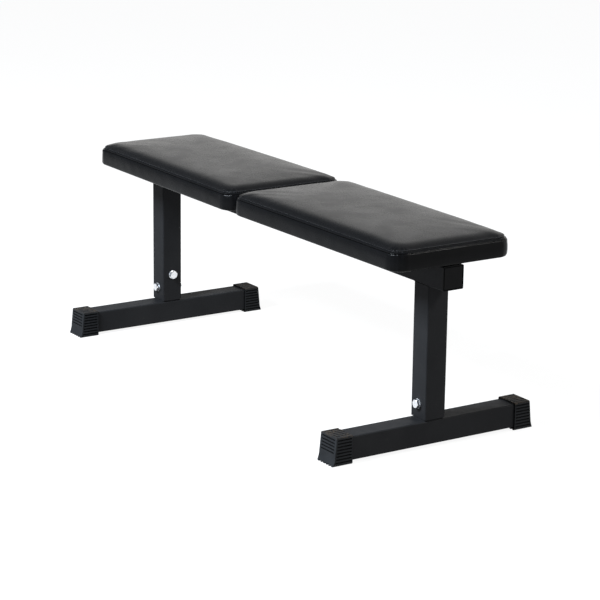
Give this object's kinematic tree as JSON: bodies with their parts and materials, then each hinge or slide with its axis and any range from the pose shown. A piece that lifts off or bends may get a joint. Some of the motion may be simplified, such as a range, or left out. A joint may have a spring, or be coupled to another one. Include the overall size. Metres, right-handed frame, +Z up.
{
  "type": "weight bench",
  "caption": "Flat weight bench with split padded cushions on a square steel rail, bolted upright posts and cross foot bars with ribbed rubber caps.",
  "frame": {"origin": "on the floor, below the middle of the bench", "axes": "+X along the rail to the front, +Y across to the left, +Z up"},
  "size_m": [1.222, 0.5, 0.4473],
  "materials": {
    "frame_steel": "satin",
    "plug_plastic": "matte",
    "zinc_fasteners": "satin",
    "foot_rubber": "matte",
    "pad_vinyl": "satin",
    "pad_foam": "matte",
    "pad_board": "matte",
    "dust_cloth": "matte"
  },
  "bodies": {
    "root": {"rail": "frame_steel", "front_rail_plug": "plug_plastic", "rear_rail_plug": "plug_plastic", "front_post": "frame_steel", "rear_post": "frame_steel", "front_post_welds": "frame_steel", "rear_post_welds": "frame_steel", "front_foot_bar": "frame_steel", "rear_foot_bar": "frame_steel", "front_stub": "frame_steel", "rear_stub": "frame_steel", "front_stub_weld": "frame_steel", "rear_stub_weld": "frame_steel", "front_weld_nut": "zinc_fasteners", "rear_weld_nut": "zinc_fasteners", "front_left_foot_cap": "foot_rubber", "front_right_foot_cap": "foot_rubber", "rear_left_foot_cap": "foot_rubber", "rear_right_foot_cap": "foot_rubber", "front_cross_bolt": "zinc_fasteners", "rear_cross_bolt": "zinc_fasteners", "front_cross_washers": "zinc_fasteners", "rear_cross_washers": "zinc_fasteners", "front_cross_nut": "zinc_fasteners", "rear_cross_nut": "zinc_fasteners", "front_inner_bolt": "zinc_fasteners", "rear_inner_bolt": "zinc_fasteners", "front_inner_washer": "zinc_fasteners", "rear_inner_washer": "zinc_fasteners", "front_outer_bracket": "frame_steel", "front_inner_bracket": "frame_steel", "rear_inner_bracket": "frame_steel", "rear_outer_bracket": "frame_steel", "front_bracket_welds": "frame_steel", "rear_bracket_welds": "frame_steel", "front_pad_board": "pad_board", "rear_pad_board": "pad_board", "front_pad_foam": "pad_foam", "rear_pad_foam": "pad_foam", "front_pad_top_panel": "pad_vinyl", "rear_pad_top_panel": "pad_vinyl", "front_pad_side_band": "pad_vinyl", "rear_pad_side_band": "pad_vinyl", "front_pad_dust_cloth": "dust_cloth", "rear_pad_dust_cloth": "dust_cloth", "front_pad_staples": "zinc_fasteners", "rear_pad_staples": "zinc_fasteners", "front_pad_tee_nuts": "zinc_fasteners", "rear_pad_tee_nuts": "zinc_fasteners", "front_pad_bolts": "zinc_fasteners", "rear_pad_bolts": "zinc_fasteners", "front_pad_washers": "zinc_fasteners", "rear_pad_washers": "zinc_fasteners"}
  },
  "joints": []
}
